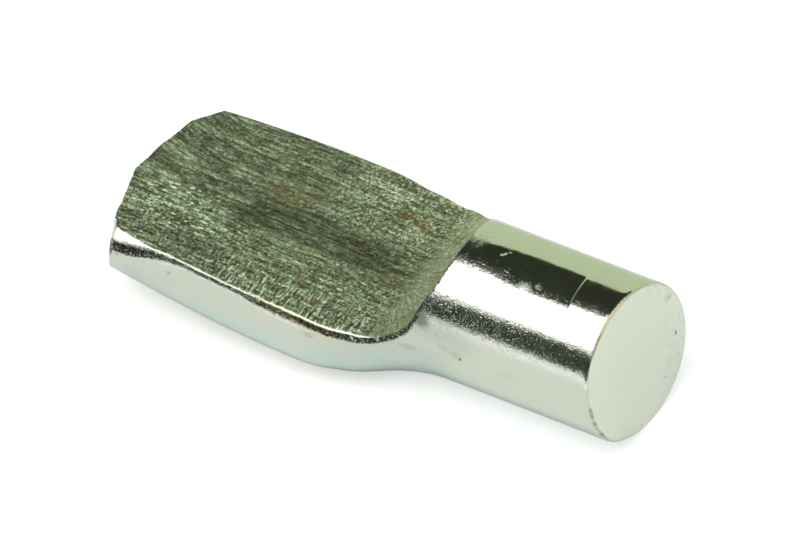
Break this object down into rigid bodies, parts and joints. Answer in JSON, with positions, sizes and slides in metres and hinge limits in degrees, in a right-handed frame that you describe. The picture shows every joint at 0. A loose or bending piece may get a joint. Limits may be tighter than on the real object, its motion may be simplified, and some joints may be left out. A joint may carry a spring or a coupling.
{
  "type": "shelf support pin",
  "caption": "Push-in steel shelf support: a round shank that fits a shelf hole, pressed flat at one end into a paddle that carries the shelf.",
  "frame": {"origin": "on the shank's axis, in the plane where the step meets the top of the shank", "axes": "+X along the shank's axis, out of its free end; +Z towards the side the shelf sits on; +Y completes a right-handed frame"},
  "size_m": [0.0191, 0.0066, 0.005],
  "materials": {
    "plated_steel": "worn bright plating, the seat left rough from the press"
  },
  "bodies": {
    "root": {"shelf_pin": "plated_steel"}
  },
  "joints": []
}
